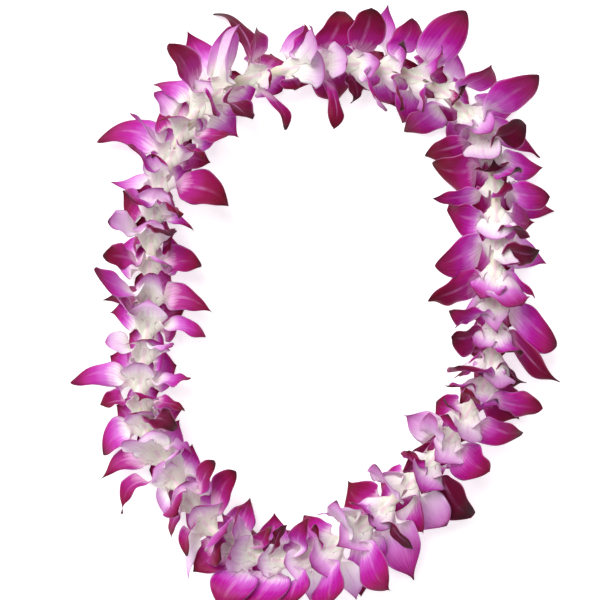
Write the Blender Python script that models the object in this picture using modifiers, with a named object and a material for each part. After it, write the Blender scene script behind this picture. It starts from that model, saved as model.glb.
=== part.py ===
"""A fresh orchid lei: one closed strand of blossoms threaded through their throats, all facing one way round.

Metres, +Z up. The lei lies flat on the surface it rests on, with its centre at the origin and its lowest
petals at z = 0. Lengths below are in millimetres and are scaled once, where the meshes are made.
"""
import math

import bmesh
import bpy
import numpy as np

MM = 0.001

THREAD_HEIGHT = 21.0
THREAD_RADIUS = 0.6
KNOT_RADIUS = 1.0
PETAL_THICKNESS = 0.8
THROAT_RADIUS = 5.5
HIGHEST_TIP = 25.0
SQUASH = 1.1
LOWEST_SHEET = 0.4
LAYER_STEP = 1.3
SHEET_ROOM = 1.35
LONGEST_REACH = 58.0
# Blossoms whose hidden organs stay close to the thread.
SLIM = (1, 20, 34, 36, 40, 47)

# Where, from its throat to its tip, an organ's cross rows lie.
ROWS = (0.0, 0.34, 0.68, 1.0)

# The strand's centreline, clockwise from the narrow neck at the upper left.
STRAND = [
    (-28, 160), (10, 165), (49, 162), (80, 151), (105, 132), (120, 105), (126, 74), (126, 38),
    (125, 7), (125, -24), (120, -55), (107, -78), (91, -100), (70, -124), (45, -148), (17, -170),
    (-14, -182), (-46, -178), (-72, -162), (-89, -140), (-105, -116), (-119, -91), (-123, -63),
    (-119, -35), (-116, -7), (-116, 21), (-114, 49), (-109, 77), (-99, 105), (-84, 132), (-58, 151),
]

# The organs around a blossom in order: dorsal sepal, petal, sepal, lip, sepal, petal.
RING_ORDER = "DPSLSP"
HALF_WIDTH = {"D": 9.0, "P": 14.5, "S": 8.6, "L": 7.0}
REACH = {"D": 32.0, "P": 33.0, "S": 33.0, "L": 22.0}

# Each blossom: how far along the strand its base is, the organs that point up, from the outer side of the
# loop to the inner side, and for each of those its tip (x, y), how far its face turns up, its width and, for
# a curved one, how far its middle strays sideways.
BLOSSOMS = [
    (0, "SPD", [(-12, 197, 40, 1.0, "l"), (-5, 191, 50, 0.5, "m"), (0, 194, 10, 1.2, "l")]),
    (21, "PDP", [(19, 200, 60, 1, "c"), None, (13, 119, 40, 0.85, "c", 4)]),
    (43, "PDPS", [(37, 204, 60, 1, "c"), None, (46, 129, 40, 1.1, "m"), (28, 137, 10, 0.5, "k")]),
    (66, "SPDP", [(49, 211, 30, 0.8, "l", 4), (69, 196, 60, 0.9, "m"), (62, 178, 0, 1, "k"),
        (61, 131, 40, 0.9, "c")]),
    (88, "PDP", [(100, 200, 60, 1.35, "m"), (91, 172, 0, 1, "k"), (73, 129, 40, 0.8, "m")]),
    (111, "SPDP", [(102, 176, 40, 1.3, "l"), (121, 158, 40, 1.3, "m"), (103, 151, 0, 1.3, "k"),
        (63, 118, 40, 1.3, "m")]),
    (133, "SPD", [(147, 139, 30, 0.8, "m"), (155, 158, 60, 1.0, "m", 5), (123, 113, 0, 1, "l")]),
    (150, "SPDP", [(158, 101, 40, 1, "m"), (144, 124, 50, 1, "k"), None, (75, 104, 60, 1.35, "c")]),
    (168, "SPDP", [(161, 90, 30, 1, "m", -4), (140, 90, 20, 0.8, "k"), (122, 90, 0, 1.2, "k"),
        (81, 94, 50, 1.3, "c", 5)]),
    (188, "SPDP", [(170, 60, 30, 1, "m", -4), (161, 72, 60, 1, "m"), (133, 90, 0, 1, "l"),
        (81, 71, 30, 0.6, "m")]),
    (208, "PDP", [(150, 48, 50, 0.9, "k"), None, (93, 63, 60, 1, "m")]),
    (227, "SPDP", [(165, 29, 40, 1.05, "l"), (155, 33, 50, 1, "k"), (142, 23, 0, 0.7, "w"),
        (84, 22, 65, 1.3, "m")]),
    (248, "SPDP", [(154, 0, 40, 0.9, "m"), (140, -2, 20, 1.2, "c"), (114, 0, 10, 1.4, "c"),
        (77, 0, 50, 1, "c", 3)]),
    (268, "PDPS", [(168, -41, 60, 1.2, "m"), None, (93, -11, 40, 1.0, "m"), (98, -19, 30, 0.8, "l")]),
    (287, "SPDP", [(164, -60, 30, 1.0, "c", -6), (140, -36, 10, 0.8, "c"), (112, -34, 10, 0.8, "l"),
        (93, -25, 45, 1.1, "c", 4)]),
    (308, "SPDPS", [(141, -64, 30, 1, "k"), None, None, (97, -45, 50, 1.5, "m"), (98, -57, 40, 1.1, "m")]),
    (328, "SPDPS", [(144, -84, 30, 0.9, "m"), (158, -73, 40, 0.8, "m", 3), None, (105, -60, 30, 0.6, "l"),
        (88, -62, 20, 0.6, "c")]),
    (350, "PDPS", [(144, -96, 50, 0.9, "m", 3), None, (93, -69, 40, 0.6, "w"), (89, -75, 10, 0.4, "c")]),
    (371, "PDPS", [(121, -119, 60, 1.2, "m"), None, (77, -77, 40, 0.95, "w"), (62, -80, 50, 1.35, "w")]),
    (393, "PDP", [(107, -153, 40, 1.15, "k"), None, (65, -103, 60, 0.95, "m")]),
    (414, "SPDPS", [None, (91, -158, 30, 1.15, "w"), (76, -162, 40, 1.9, "m"), (43, -111, 40, 1.25, "w"),
        (41, -122, 30, 1.3, "w")]),
    (438, "SPDP", [(68, -199, 30, 1.6, "l"), (70, -171, 30, 0.7, "k"), None, (25, -137, 40, 0.8, "c")]),
    (458, "SPDPS", [(24, -215, 50, 1.5, "m"), (49, -199, 60, 1.1, "m"), None, (12, -138, 40, 1.1, "w"),
        (2, -148, 40, 1.2, "w")]),
    (483, "SPDP", [(33, -211, 20, 1.0, "w"), (11, -212, 60, 1.4, "m"), None, (0, -155, 30, 0.6, "c")]),
    (504, "SPDP", [(-2, -214, 30, 1.1, "w"), (-16, -212, 50, 1.2, "m"), None, (-10, -152, 60, 1, "m")]),
    (524, "PDP", [(-46, -216, 60, 1.3, "m"), None, (-22, -155, 40, 0.6, "k")]),
    (542, "SPDPS", [None, (-68, -213, 60, 1.2, "m"), None, (-53, -141, 50, 0.8, "m"),
        (-33, -157, 30, 1.1, "c")]),
    (560, "PDP", [(-63, -183, 50, 0.9, "c"), (-56, -154, 10, 1.6, "w"), (-63, -152, 20, 0.5, "c")]),
    (581, "SPDP", [(-79, -202, 10, 0.5, "w"), (-89, -178, 40, 0.7, "c"), None,
        (-54, -119, 60, 0.75, "c", 5)]),
    (601, "SPDP", [(-101, -171, 20, 1.0, "c"), (-81, -167, 30, 0.8, "l"), None, (-71, -112, 60, 0.9, "c")]),
    (620, "SPDP", [(-105, -161, 30, 1.2, "l"), (-126, -160, 40, 0.62, "m", -12), None,
        (-95, -103, 20, 0.6, "w")]),
    (640, "SPDP", [(-148, -131, 20, 0.65, "m", -7), None, None, (-84, -102, 40, 0.5, "l")]),
    (662, "PDP", [(-150, -109, 50, 0.85, "m"), (-121, -76, 10, 1, "l"), (-91, -97, 50, 1, "k")]),
    (678, "PDP", [(-149, -76, 40, 0.85, "c"), (-119, -66, 0, 0.9, "l"), (-90, -75, 20, 0.5, "c")]),
    (694, "PDP", [(-170, -60, 50, 0.62, "m", -5), None, (-86, -57, 20, 0.5, "m")]),
    (714, "PDP", [(-147, -30, 50, 0.9, "w"), (-111, -27, 0, 1.6, "m"), (-98, -33, 30, 0.7, "l")]),
    (734, "PDP", [(-145, 28, 40, 1.15, "c"), None, (-76, -25, 20, 0.5, "m")]),
    (752, "SPDP", [(-152, -2, 10, 0.5, "k"), (-154, 19, 40, 1.15, "m", 5), (-111, 23, 0, 0.9, "l"),
        (-72, -9, 50, 0.9, "m")]),
    (776, "PDP", [(-144, 29, 40, 0.9, "c"), (-103, 24, 0, 0.9, "l"), (-80, 25, 50, 0.9, "c")]),
    (794, "PDP", [(-143, 55, 40, 0.9, "w"), None, (-97, 42, 50, 0.8, "k")]),
    (813, "PDPS", [(-132, 68, 60, 1.1, "m"), None, (-92, 55, 30, 0.5, "c"), (-84, 50, 10, 0.4, "m")]),
    (835, "SPDP", [(-145, 81, 20, 0.6, "l", 3), (-128, 106, 50, 0.9, "m"), (-112, 104, 0, 0.9, "l"),
        (-60, 69, 70, 1.85, "c")]),
    (855, "PDP", [(-154, 115, 50, 0.7, "m", -5), (-125, 132, 0, 1, "l"), (-77, 99, 40, 0.8, "c")]),
    (875, "PDP", [(-115, 144, 30, 0.8, "l"), (-105, 125, 10, 0.8, "c"), (-57, 111, 40, 0.7, "c")]),
    (895, "SPDP", [(-115, 153, 20, 0.7, "m"), (-100, 174, 50, 0.9, "c"), None, (-77, 125, 30, 0.7, "l")]),
    (911, "SPDP", [(-91, 191, 40, 0.9, "m"), (-60, 190, 30, 0.9, "l"), (-49, 192, 0, 1.8, "l"),
        (-46, 124, 50, 1.1, "k")]),
    (940, "PDPS", [(-71, 208, 10, 0.3, "k"), (-40, 190, 20, 1.6, "c"), (-35, 146, 20, 0.45, "c"),
        (-17, 122, 40, 0.8, "c", 8)]),
]


# ---------------------------------------------------------------------------------------------------------
# The strand
# ---------------------------------------------------------------------------------------------------------

def blurred(values, sigma):
    """A closed run of values, one a millimetre, evened out over about sigma millimetres."""
    reach = int(3 * sigma)
    weights = np.exp(-0.5 * (np.arange(-reach, reach + 1) / sigma) ** 2)
    weights = weights / weights.sum()
    total = np.zeros_like(values)
    for step, weight in zip(range(-reach, reach + 1), weights):
        total = total + weight * np.roll(values, step, axis=0)
    return total


def rounded_curve(points, per_span=60):
    """A closed curve through the hand-placed points."""
    points = np.array(points, float)
    before = np.roll(points, 1, axis=0)
    after = np.roll(points, -1, axis=0)
    beyond = np.roll(points, -2, axis=0)
    spans = []
    for f in np.linspace(0.0, 1.0, per_span, endpoint=False):
        spans.append(0.5 * (2 * points + (after - before) * f
                            + (2 * before - 5 * points + 4 * after - beyond) * f ** 2
                            + (3 * points - before - 3 * after + beyond) * f ** 3))
    return np.stack(spans, axis=1).reshape(-1, 2)


def lay_strand():
    """Positions and outward directions, one a millimetre along the strand, and its length."""
    dense = rounded_curve(STRAND)
    dense = np.vstack([dense, dense[:1]])
    run = np.concatenate([[0.0], np.cumsum(np.linalg.norm(np.diff(dense, axis=0), axis=1))])
    count = int(round(run[-1]))
    at = np.linspace(0.0, run[-1], count, endpoint=False)
    line = np.stack([np.interp(at, run, dense[:, k]) for k in (0, 1)], axis=1)
    line = blurred(line, 8.0)
    ahead = blurred(np.roll(line, -1, axis=0) - np.roll(line, 1, axis=0), 12.0)
    ahead = ahead / np.linalg.norm(ahead, axis=1)[:, None]
    outward = np.stack([-ahead[:, 1], ahead[:, 0]], axis=1)
    return line, outward, float(count)


LINE, OUTWARD, LENGTH = lay_strand()


def along(table, s):
    """A table of one row a millimetre, read at any distance along the closed strand."""
    s = np.mod(s, LENGTH)
    low = np.floor(s).astype(int) % len(table)
    high = (low + 1) % len(table)
    share = s - np.floor(s)
    if table.ndim == 2:
        share = share[..., None]
    return table[low] * (1 - share) + table[high] * share


def placed(s, n, h):
    """World points for distance along the strand, distance outward from it and height over the surface."""
    flat = along(LINE, s) + along(OUTWARD, s) * n[..., None]
    return np.concatenate([flat, h[..., None]], axis=-1)


def strand_place(x, y, near):
    """How far past near, and how far outward, the point (x, y) lies."""
    steps = np.arange(-30.0, 75.0, 1.0)
    spots = along(LINE, near + steps)
    sides = along(OUTWARD, near + steps)
    offset = np.array([x, y]) - spots
    best = int(np.argmin(np.sum(offset ** 2, axis=1)))
    return steps[best], float(np.sum(offset[best] * sides[best]))


# ---------------------------------------------------------------------------------------------------------
# The blossoms
# ---------------------------------------------------------------------------------------------------------

def flare(r, up):
    """How far forward of its base a blossom's trumpet lies at radius r, up being the sine of the direction.

    The blossoms lie squashed: their organs spread wide to both sides and trail forward above and below.
    """
    return 2.0 * r / (1.0 + r / 13.0) * (1.0 + SQUASH * up * up)


def usual_reach(kind, up):
    """How far an organ of this kind stands out from the thread; shorter above and below than to the sides."""
    return REACH[kind] * (1.0 - 0.30 * up * up)


def spread_angles(angles, weights, least):
    """Pushes the organs of one blossom apart until each pair of neighbours is at least so far apart."""
    angles = list(angles)
    count = len(angles)
    for _ in range(200):
        for a in range(count):
            b = (a + 1) % count
            gap = (angles[b] - angles[a]) % 360.0
            if gap > 330.0:
                gap -= 360.0
            if gap < least:
                push = least - gap
                share = weights[b] / (weights[a] + weights[b])
                angles[a] -= push * share * 0.5
                angles[b] += push * (1.0 - share) * 0.5
    return angles


def grow_organs():
    """One record for each organ of each blossom, in the order that they stand around it."""
    rng = np.random.default_rng(11)
    organs = []
    for index, (base, kinds, tips) in enumerate(BLOSSOMS):
        start = (RING_ORDER * 2).index(kinds)
        ring = [(RING_ORDER * 2)[start + k] for k in range(6)]
        wanted = []
        for kind, tip in zip(kinds, tips):
            if tip is None:
                wanted.append(None)
                continue
            ahead, outward = strand_place(tip[0], tip[1], base)
            trial = np.radians(np.arange(8.0, 173.0, 1.0))
            spread = usual_reach(kind, np.sin(trial)) * np.cos(trial)
            angle = math.degrees(trial[int(np.argmin(np.abs(spread - outward)))])
            sway = tip[5] if len(tip) > 5 else 0.0
            wanted.append((angle, ahead, outward, tip[2], tip[3], sway))
        count = len(wanted)
        angles = [None if w is None else w[0] for w in wanted]
        known = [k for k in range(count) if angles[k] is not None]
        for k in range(count):
            if angles[k] is None:
                left = [q for q in known if q < k]
                right = [q for q in known if q > k]
                if left and right:
                    share = (k - left[-1]) / (right[0] - left[-1])
                    angles[k] = wanted[left[-1]][0] * (1 - share) + wanted[right[0]][0] * share
                elif right:
                    angles[k] = wanted[right[0]][0] - 55.0 * (right[0] - k)
                else:
                    angles[k] = wanted[left[-1]][0] + 55.0 * (k - left[-1])
        hidden = 6 - count
        gap = 360.0 - (angles[-1] - angles[0])
        for k in range(hidden):
            angles.append(angles[count - 1] + gap * (k + 1) / (hidden + 1))
        weights = [4.0 if k < count and wanted[k] is not None else 1.0 for k in range(6)]
        angles = spread_angles(angles, weights, 36.0)
        for k in range(6):
            kind = ring[k]
            angle = math.radians(angles[k])
            side = math.cos(angle)
            rise = math.sin(angle)
            seen = wanted[k] if k < count else None
            reach = usual_reach(kind, rise) * rng.uniform(0.94, 1.05)
            ahead, turn, width, sway = None, 35.0, rng.uniform(0.85, 1.0), 0.0
            if seen is not None:
                ahead, turn, width, sway = seen[1], seen[3], seen[4], seen[5]
                if abs(side) > 0.25:
                    reach = float(np.clip(seen[2] / side, 0.62 * REACH[kind], LONGEST_REACH))
                if rise > 0.75:
                    reach = min(reach, 1.3 * REACH[kind])
            else:
                aside = 13.0 if index + 1 in SLIM else 29.0
                reach = min(reach, aside / max(abs(side), 0.3))
                if rise < 0.0:
                    reach = min(1.33 * reach, 21.0 / abs(rise) + 10.0)
            lift = 0.0
            if rise > 0.0 and seen is None:
                reach = min(reach, HIGHEST_TIP / max(rise, 0.2))
            elif rise > 0.0:
                lift = min(0.0, HIGHEST_TIP - rise * reach)
            shift = 0.0
            if ahead is not None:
                shift = float(np.clip(ahead - flare(reach, rise), -20.0, 20.0))
            before = math.radians((angles[k] - angles[k - 1]) % 360.0)
            after = math.radians((angles[(k + 1) % 6] - angles[k]) % 360.0)
            organs.append({
                "blossom": index, "base": float(base), "kind": kind, "angle": angle, "reach": reach,
                "turn": math.radians(45.0 + 0.4 * turn), "half": HALF_WIDTH[kind] * width,
                "shift": shift, "lift": lift, "sway": sway, "before": before, "after": after,
                "cup": float(rng.uniform(-0.10, 0.16)), "front": 1.0 if kind in "PL" else -1.0,
            })
    return organs


def width_share(kind, l):
    """The organ's half width along its length as a share of its widest."""
    if kind == "P":
        return np.sin(np.pi * np.clip(l, 0, 1) ** 0.85) ** 0.75
    return np.sin(np.pi * np.clip(l, 0, 1) ** 0.75) ** 0.85


def organ_sheet(o, l, v):
    """(s, n, h) of the organ's middle surface, l from the throat (0) to the tip (1), v across (-1 to 1)."""
    r = THROAT_RADIUS + (o["reach"] - THROAT_RADIUS) * l
    cos_a, sin_a = math.cos(o["angle"]), math.sin(o["angle"])
    opened = np.clip(l / 0.5, 0.0, 1.0)
    opened = opened * opened * (3.0 - 2.0 * opened)
    turn = o["turn"] * opened * cos_a
    half = o["half"] * width_share(o["kind"], l) + 2.7 * (1.0 - l) ** 2
    room = np.where(v < 0.0, math.tan(min(o["before"] / 2.0, 1.1)), math.tan(min(o["after"] / 2.0, 1.1)))
    loose = np.clip((l - 0.36) / 0.25, 0.0, 1.0)
    half = np.where(l < 0.6, np.minimum(half, 0.94 * r * room + 40.0 * loose), half)
    across = v * half + o["sway"] * np.sin(np.pi * l)
    lifted = opened * (o["front"] * LAYER_STEP + o["cup"] * half * v * v)
    step = across * np.cos(turn) + lifted * np.sin(turn)
    n = r * cos_a - step * sin_a
    up = r * sin_a + step * cos_a
    radius = np.hypot(n, up)
    s = o["base"] + flare(radius, up / np.maximum(radius, 0.1))
    s = s - across * np.sin(turn) + lifted * np.cos(turn) + o["shift"] * l ** 1.5
    h = np.maximum(THREAD_HEIGHT + up + o["lift"] * l ** 1.3, LOWEST_SHEET)
    return s, n, h


def settle(organs):
    """Lifts or lowers the organs until each lies clear over or under every other that it crosses."""
    rows = np.repeat(ROWS, 3)
    sides = np.tile((-1.0, 0.0, 1.0), len(ROWS))
    weights = []
    share = []
    for l in np.linspace(0.12, 1.0, 13):
        high = int(np.searchsorted(ROWS, l))
        part = (l - ROWS[high - 1]) / (ROWS[high] - ROWS[high - 1])
        for v in np.linspace(-1.0, 1.0, 9):
            row = np.zeros(len(rows))
            left = 0 if v < 0 else 1
            across = v + 1.0 if v < 0 else v
            for line, much in ((high - 1, 1.0 - part), (high, part)):
                row[3 * line + left] += much * (1.0 - across)
                row[3 * line + left + 1] += much * across
            weights.append(row)
            share.append(l)
    weights = np.array(weights)
    share = np.array(share)
    count = len(organs)
    owner = np.repeat(np.arange(count), len(share))
    lv = np.tile(share, count)
    flower = np.array([o["blossom"] for o in organs])
    above = np.array([math.sin(o["angle"]) for o in organs])
    order = np.zeros((count, count), np.int8)
    worst = 0.0
    for turn_no in range(90):
        s, n, h = [], [], []
        for o in organs:
            corners = organ_sheet(o, rows, sides)
            s.append(weights @ corners[0])
            n.append(weights @ corners[1])
            h.append(weights @ corners[2])
        s, n, h = np.concatenate(s), np.concatenate(n), np.concatenate(h)
        half_cell = 1.5 * (turn_no % 2)
        across_cells = 60
        key = np.floor(np.mod(s + half_cell, LENGTH) / 3.0) * across_cells
        key = key + np.floor((n + half_cell + 75.0) / 3.0)
        sort = np.lexsort((h, key))
        pull = np.zeros(count)
        push = np.zeros(count)
        worst = 0.0
        pairs = []
        for step in range(1, 26):
            a, b = sort[:-step], sort[step:]
            good = (key[a] == key[b]) & (owner[a] != owner[b])
            kin = flower[owner[a]] == flower[owner[b]]
            good &= ~(kin & ((lv[a] < 0.42) | (lv[b] < 0.42)))
            pairs.append((a[good], b[good]))
        a = np.concatenate([p[0] for p in pairs])
        b = np.concatenate([p[1] for p in pairs])
        if turn_no < 6:
            order[:] = 0
        score = np.zeros((count, count))
        np.add.at(score, (owner[b], owner[a]), h[b] - h[a])
        score = score - score.T
        fresh = (order == 0) & (score != 0)
        order[fresh] = np.sign(score[fresh])
        upper = order[owner[b], owner[a]] > 0
        top = np.where(upper, b, a)
        low = np.where(upper, a, b)
        lean = np.array([abs(math.cos(o["turn"] * math.cos(o["angle"]))) for o in organs])
        slant = 1.0 + 1.2 * np.maximum(lean[owner[top]], lean[owner[low]]) ** 4
        short = SHEET_ROOM * slant - (h[top] - h[low])
        bad = short > 0.0
        top, low, short = top[bad], low[bad], short[bad]
        wt, wl = lv[top] ** 1.3, lv[low] ** 1.3
        norm = wt * wt + wl * wl
        np.maximum.at(push, owner[top], short * wt / norm)
        np.maximum.at(pull, owner[low], short * wl / norm)
        clashes = np.zeros(count)
        np.maximum.at(clashes, owner[top], short)
        np.maximum.at(clashes, owner[low], short)
        worst = float(short.max()) if len(short) else 0.0
        near = (np.abs(n) < 7.5) & (lv > 0.3)
        side = np.sign(above[owner])
        wall = 8.0 - side * (h - THREAD_HEIGHT)
        hit = near & (wall > 0.0) & (np.abs(above[owner]) > 0.35)
        over = hit & (side > 0)
        under = hit & (side < 0)
        np.maximum.at(push, owner[over], wall[over])
        np.maximum.at(pull, owner[under], wall[under])
        for k, o in enumerate(organs):
            o["lift"] = float(np.clip(o["lift"] + 0.4 * (push[k] - pull[k]), -24.0, 16.0))
            if clashes[k] > 1.0 and turn_no > 25:
                o["half"] *= 0.993
            if clashes[k] > 1.0 and turn_no > 50:
                o["reach"] = max(o["reach"] * 0.993, 14.0)
    return worst


ORGANS = grow_organs()
WORST = settle(ORGANS)
print("closest pass left over, mm:", round(WORST, 3))


# ---------------------------------------------------------------------------------------------------------
# Meshes
# ---------------------------------------------------------------------------------------------------------

def clear_scene():
    for thing in list(bpy.data.objects):
        bpy.data.objects.remove(thing, do_unlink=True)
    for group in list(bpy.data.collections):
        bpy.data.collections.remove(group)


def plain_material(name, colour, roughness, subsurface):
    material = bpy.data.materials.new(name)
    material.use_nodes = True
    shader = material.node_tree.nodes["Principled BSDF"]
    shader.inputs["Base Color"].default_value = (*colour, 1.0)
    shader.inputs["Roughness"].default_value = roughness
    shader.inputs["Subsurface Weight"].default_value = subsurface
    material.diffuse_color = (*colour, 1.0)
    return material


def blossom_sheet(parts):
    """The open middle surface of one blossom: a small throat around the thread and six organs."""
    base = parts[0]["base"]
    columns = []
    for o in parts:
        columns.append(o["angle"] - o["before"] / 2.0)
        columns.append(o["angle"])
    columns = np.unwrap(np.array(columns))
    steps = np.arange(12) * math.pi / 6.0
    even = steps + np.mean(columns - steps)
    points = []
    faces = []
    for radius, forward in ((1.5, 0.0), (3.4, 4.4)):
        s = np.full(12, base + forward)
        points.extend(placed(s, radius * np.cos(even), THREAD_HEIGHT + radius * np.sin(even)))
    ring = THROAT_RADIUS
    rim_s = base + flare(np.full(12, ring), np.sin(columns))
    points.extend(placed(rim_s, ring * np.cos(columns), THREAD_HEIGHT + ring * np.sin(columns)))
    for row in (0, 1):
        for k in range(12):
            j = (k + 1) % 12
            faces.append((row * 12 + k, row * 12 + j, row * 12 + 12 + j, row * 12 + 12 + k))
    for number, o in enumerate(parts):
        last = [24 + 2 * number, 24 + 2 * number + 1, 24 + (2 * number + 2) % 12]
        for l in ROWS[1:3]:
            first = len(points)
            points.extend(placed(*organ_sheet(o, np.full(3, l), np.array([-1.0, 0.0, 1.0]))))
            row = [first, first + 1, first + 2]
            faces.append((last[0], last[1], row[1], row[0]))
            faces.append((last[1], last[2], row[2], row[1]))
            last = row
        tip = len(points)
        points.extend(placed(*organ_sheet(o, np.array([1.0]), np.array([0.0]))))
        faces.append((last[0], last[1], tip))
        faces.append((last[1], last[2], tip))
    return np.array(points), faces


def thickened(name, points, faces, material, group):
    """An object whose open sheet has the petals' thickness, with what touches the surface pressed flat."""
    sheet = bpy.data.meshes.new(name + "_sheet")
    sheet.from_pydata([tuple(p * MM) for p in points], [], faces)
    raw = bpy.data.objects.new(name + "_sheet", sheet)
    group.objects.link(raw)
    solid = raw.modifiers.new("thickness", "SOLIDIFY")
    solid.thickness = PETAL_THICKNESS * MM
    solid.offset = 0.0
    solid.use_rim = True
    graph = bpy.context.evaluated_depsgraph_get()
    made = bpy.data.meshes.new_from_object(raw.evaluated_get(graph))
    bpy.data.objects.remove(raw, do_unlink=True)
    made.name = name
    mesh = bmesh.new()
    mesh.from_mesh(made)
    for vertex in mesh.verts:
        if vertex.co.z < 0.30 * MM:
            vertex.co.z = 0.0
    bmesh.ops.triangulate(mesh, faces=mesh.faces[:])
    bmesh.ops.recalc_face_normals(mesh, faces=mesh.faces[:])
    mesh.to_mesh(made)
    mesh.free()
    made.materials.clear()
    made.materials.append(material)
    piece = bpy.data.objects.new(name, made)
    group.objects.link(piece)
    return piece


def tied_thread(material, group):
    """The closed thread through every throat, with its knot, pulled small, just before the neck."""
    count = 160
    s = np.arange(count) * LENGTH / count
    path = placed(s, np.zeros(count), np.full(count, THREAD_HEIGHT))
    curve = bpy.data.curves.new("thread_path", "CURVE")
    curve.dimensions = "3D"
    curve.bevel_depth = THREAD_RADIUS * MM
    curve.bevel_resolution = 1
    curve.use_fill_caps = False
    spline = curve.splines.new("POLY")
    spline.points.add(count - 1)
    for k, p in enumerate(path):
        spline.points[k].co = (p[0] * MM, p[1] * MM, p[2] * MM, 1.0)
        away = abs((s[k] - (LENGTH - 8.0) + LENGTH / 2) % LENGTH - LENGTH / 2)
        spline.points[k].radius = KNOT_RADIUS / THREAD_RADIUS if away < 3.5 else 1.0
    spline.use_cyclic_u = True
    raw = bpy.data.objects.new("thread_path", curve)
    group.objects.link(raw)
    graph = bpy.context.evaluated_depsgraph_get()
    made = bpy.data.meshes.new_from_object(raw.evaluated_get(graph))
    bpy.data.objects.remove(raw, do_unlink=True)
    bpy.data.curves.remove(curve)
    made.name = "thread"
    made.materials.clear()
    made.materials.append(material)
    piece = bpy.data.objects.new("thread", made)
    group.objects.link(piece)
    return piece


def centre(pieces):
    """Moves every piece so that the lei's box is centred on the origin and stands at z = 0."""
    low = np.full(3, 1e9)
    high = np.full(3, -1e9)
    for piece in pieces:
        spots = np.array([v.co[:] for v in piece.data.vertices])
        low = np.minimum(low, spots.min(axis=0))
        high = np.maximum(high, spots.max(axis=0))
    offset = np.array([-(low[0] + high[0]) / 2, -(low[1] + high[1]) / 2, -low[2]])
    for piece in pieces:
        for vertex in piece.data.vertices:
            vertex.co.x += offset[0]
            vertex.co.y += offset[1]
            vertex.co.z += offset[2]
        piece.data.update()
    return low, high


clear_scene()
lei = bpy.data.collections.new("flower_lei")
bpy.context.scene.collection.children.link(lei)
petal = plain_material("petal_magenta", (0.52, 0.03, 0.36), 0.5, 0.1)
fibre = plain_material("thread_white", (0.85, 0.83, 0.76), 0.8, 0.0)
made_pieces = [tied_thread(fibre, lei)]
for number in range(len(BLOSSOMS)):
    own = [o for o in ORGANS if o["blossom"] == number]
    sheet_points, sheet_faces = blossom_sheet(own)
    made_pieces.append(thickened("blossom_%02d" % (number + 1), sheet_points, sheet_faces, petal, lei))
box_low, box_high = centre(made_pieces)
print("box, mm:", (box_low / MM).round(2), (box_high / MM).round(2))
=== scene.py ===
import math

import bpy
import numpy as np
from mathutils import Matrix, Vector


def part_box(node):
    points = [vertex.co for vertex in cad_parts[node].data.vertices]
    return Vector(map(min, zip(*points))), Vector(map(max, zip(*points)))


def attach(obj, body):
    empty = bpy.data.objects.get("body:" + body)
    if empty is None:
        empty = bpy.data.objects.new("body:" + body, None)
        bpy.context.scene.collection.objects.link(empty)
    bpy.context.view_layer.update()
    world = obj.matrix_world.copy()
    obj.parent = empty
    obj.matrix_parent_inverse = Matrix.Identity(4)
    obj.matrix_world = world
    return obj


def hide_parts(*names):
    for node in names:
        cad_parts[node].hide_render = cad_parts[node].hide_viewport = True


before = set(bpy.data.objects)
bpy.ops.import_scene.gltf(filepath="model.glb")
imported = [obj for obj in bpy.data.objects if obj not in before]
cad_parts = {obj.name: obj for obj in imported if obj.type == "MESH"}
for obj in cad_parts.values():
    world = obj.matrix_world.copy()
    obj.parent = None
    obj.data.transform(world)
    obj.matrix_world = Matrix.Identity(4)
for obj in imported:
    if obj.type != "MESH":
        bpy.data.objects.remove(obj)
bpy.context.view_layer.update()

MM = 0.001

# ---- Sizes ----

# The thread's middle over the surface, and its radius.
THREAD_HEIGHT = 21.0
THREAD_RADIUS = 0.6
# How far from the thread an organ leaves the throat, and where its hidden root begins.
THROAT_RADIUS = 5.5
ROOT_RADIUS = 3.0
# How far an upward organ stands over the thread, and how much more a blossom trails above and below.
HIGHEST_TIP = 25.0
SQUASH = 1.1
# The heights between which every petal stays, and how gently it nears them.
LOWEST_SHEET = 0.35
HIGHEST_SHEET = 57.0
SOFT_LIMIT = 1.5
# How far the petals and the lip stand off the sepals, and the room where two organs cross.
LAYER_STEP = 1.3
SHEET_ROOM = 1.3
# The longest that an organ reaches, and the farthest that its tip strays along the strand.
LONGEST_REACH = 58.0
MOST_SHIFT = 20.0
PETAL_THICKNESS = 0.34
# How far aside hidden organs reach, and the blossoms where they stay close to the thread.
HIDDEN_ASIDE = 29.0
SLIM_ASIDE = 13.0
SLIM = (1, 20, 34, 36, 40, 47)

# Rows along an organ and columns across it.
LENGTH_STEPS = 36
WIDTH_STEPS = 16

# The strand's centreline, clockwise from the narrow neck at the upper left.
STRAND = [
    (-28, 160), (10, 165), (49, 162), (80, 151), (105, 132), (120, 105), (126, 74), (126, 38),
    (125, 7), (125, -24), (120, -55), (107, -78), (91, -100), (70, -124), (45, -148), (17, -170),
    (-14, -182), (-46, -178), (-72, -162), (-89, -140), (-105, -116), (-119, -91), (-123, -63),
    (-119, -35), (-116, -7), (-116, 21), (-114, 49), (-109, 77), (-99, 105), (-84, 132), (-58, 151),
]

# The organs around a blossom in order: dorsal sepal, petal, sepal, lip, sepal, petal.
RING_ORDER = "DPSLSP"
HALF_WIDTH = {"D": 9.0, "P": 14.5, "S": 8.6, "L": 7.0}
REACH = {"D": 32.0, "P": 33.0, "S": 33.0, "L": 22.0}
# Where each kind is widest, more being nearer the tip, and how full its outline is, less being fuller.
BELLY = {"D": 0.8, "P": 0.95, "S": 0.8, "L": 0.95}
FULLNESS = {"D": 0.8, "P": 0.68, "S": 0.8, "L": 0.7}
# How drawn out its tip is, and how much more so where the belly is near the base. A belly near the tip
# makes a round end instead.
TAIL = {"D": 0.5, "P": 0.1, "S": 0.7, "L": 0.1}
TAILED = 0.7
NEAR_BASE = 0.6
NEAR_TIP = 1.5
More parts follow.
